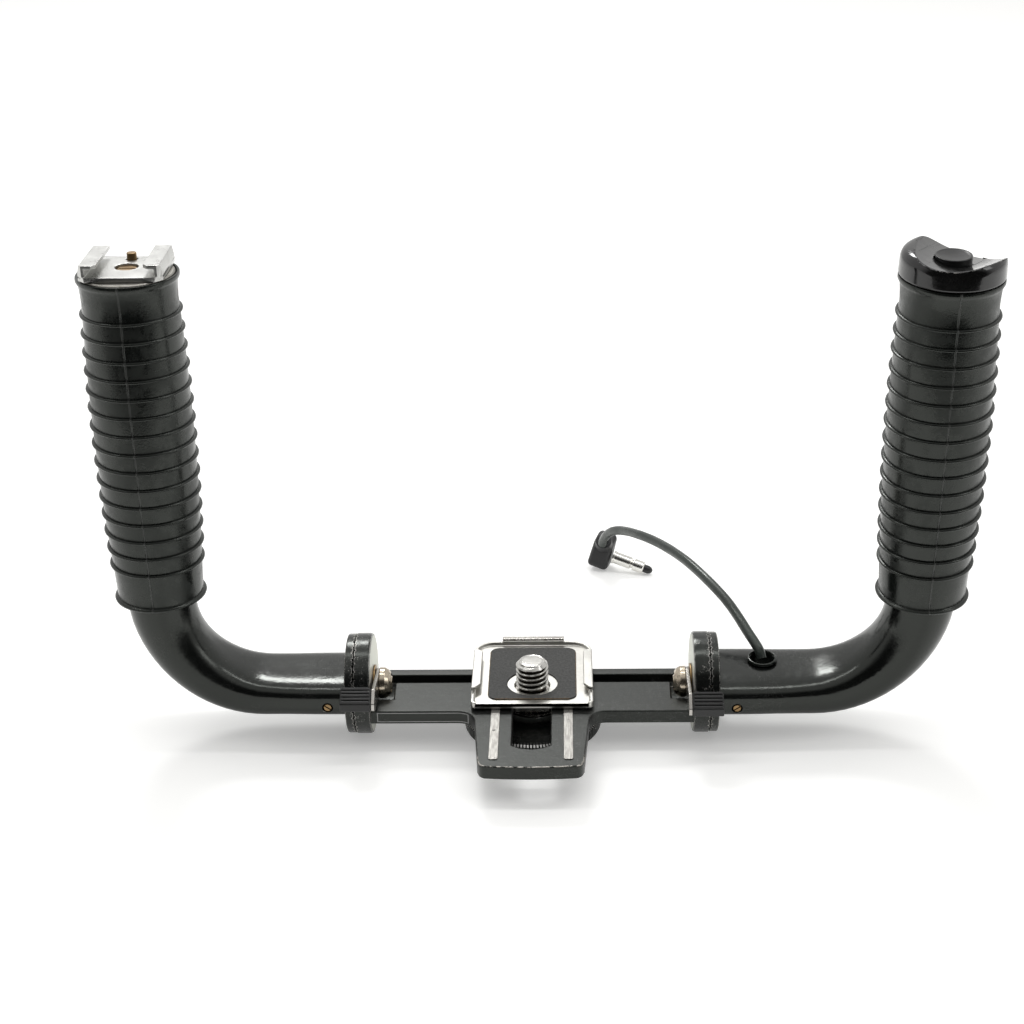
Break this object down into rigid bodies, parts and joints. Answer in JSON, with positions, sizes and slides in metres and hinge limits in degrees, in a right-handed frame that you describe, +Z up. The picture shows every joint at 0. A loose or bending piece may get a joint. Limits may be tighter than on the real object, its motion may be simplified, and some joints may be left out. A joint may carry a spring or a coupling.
{
  "type": "camera hand grip",
  "caption": "Twin-handle camera bracket: tilting bent handles with ribbed rubber grips, sliding camera plate, accessory shoe and cord release.",
  "frame": {"origin": "on the floor under the camera screw at rest, midway between the two toothed pivots", "axes": "+X along the bar towards the handle with the release button, +Y towards the back (the viewer), +Z up the grips"},
  "size_m": [0.2479, 0.1537, 0.1487],
  "materials": {
    "black_paint": "semi-gloss black stove enamel, worn to bare metal on the disc edges",
    "black_rubber": "satin moulded rubber",
    "gloss_black": "polished black moulding, chipped at the front rim",
    "satin_black": "satin black moulding",
    "chrome": "bright plated",
    "aluminium": "satin",
    "steel": "brushed",
    "brass": "aged brass, worn plating",
    "friction_pad": "dull grained grey rubber"
  },
  "bodies": {
    "bar": {"bar_casting": "black_paint", "tongue_rail_left": "steel", "tongue_rail_right": "steel", "left_thrust_washer": "brass", "right_thrust_washer": "brass"},
    "carriage": {"camera_plate": "chrome", "plate_pad": "friction_pad", "slide_block": "steel"},
    "clamp_screw": {"camera_screw": "steel", "screw_circlip": "steel", "wheel_spring_washer": "steel", "hand_wheel": "black_paint"},
    "left_lock": {"left_lock_lever": "steel", "left_lock_pad": "satin_black", "left_dome_nut": "brass"},
    "right_lock": {"right_lock_lever": "steel", "right_lock_pad": "satin_black", "right_dome_nut": "brass"},
    "left_handle": {"left_hub": "black_paint", "left_pivot_stud": "steel", "left_hub_screw": "brass", "left_handle_tube": "black_paint", "left_grip": "black_rubber", "left_top_plate": "aluminium", "accessory_shoe": "aluminium", "shoe_pin": "brass", "shoe_fixing_screw": "brass"},
    "right_handle": {"right_hub": "black_paint", "right_pivot_stud": "steel", "right_hub_screw": "brass", "right_handle_tube": "black_paint", "right_grip": "black_rubber", "release_cap": "gloss_black", "button_spring": "steel", "switch_base": "satin_black", "switch_leaf": "brass", "inner_lead": "black_rubber", "cord_grommet": "black_rubber", "release_cord": "black_rubber", "plug_body": "gloss_black", "plug_barrel": "chrome", "plug_tip": "gloss_black"},
    "release_button": {"release_button": "satin_black"}
  },
  "joints": [
    {"name": "left_tilt", "type": "hinge", "parent": "bar", "child": "left_handle", "pos_m": [-0.0516, 0, 0.0148], "axis": [1, 0, 0], "range_deg": [-90, 90]},
    {"name": "right_tilt", "type": "hinge", "parent": "bar", "child": "right_handle", "pos_m": [0.0516, 0, 0.0148], "axis": [1, 0, 0], "range_deg": [-90, 86]},
    {"name": "left_lock_turn", "type": "hinge", "parent": "bar", "child": "left_lock", "pos_m": [-0.0455, 0, 0.0148], "axis": [-1, 0, 0], "range_deg": [-6, 69]},
    {"name": "right_lock_turn", "type": "hinge", "parent": "bar", "child": "right_lock", "pos_m": [0.0455, 0, 0.0148], "axis": [-1, 0, 0], "range_deg": [0, 75]},
    {"name": "carriage_slide", "type": "slide", "parent": "bar", "child": "carriage", "axis": [0, -1, 0], "range_m": [0, 0.022]},
    {"name": "clamp_turn", "type": "hinge", "parent": "carriage", "child": "clamp_screw", "pos_m": [0, 0, 0.0065], "axis": [0, 0, 1], "continuous": true},
    {"name": "button_press", "type": "slide", "parent": "right_handle", "child": "release_button", "axis": [0, 0.0675, -0.9977], "range_m": [0, 0.0018], "stiffness_N_per_m": 400, "springref_m": -0.003, "deforming": ["button_spring"]}
  ]
}
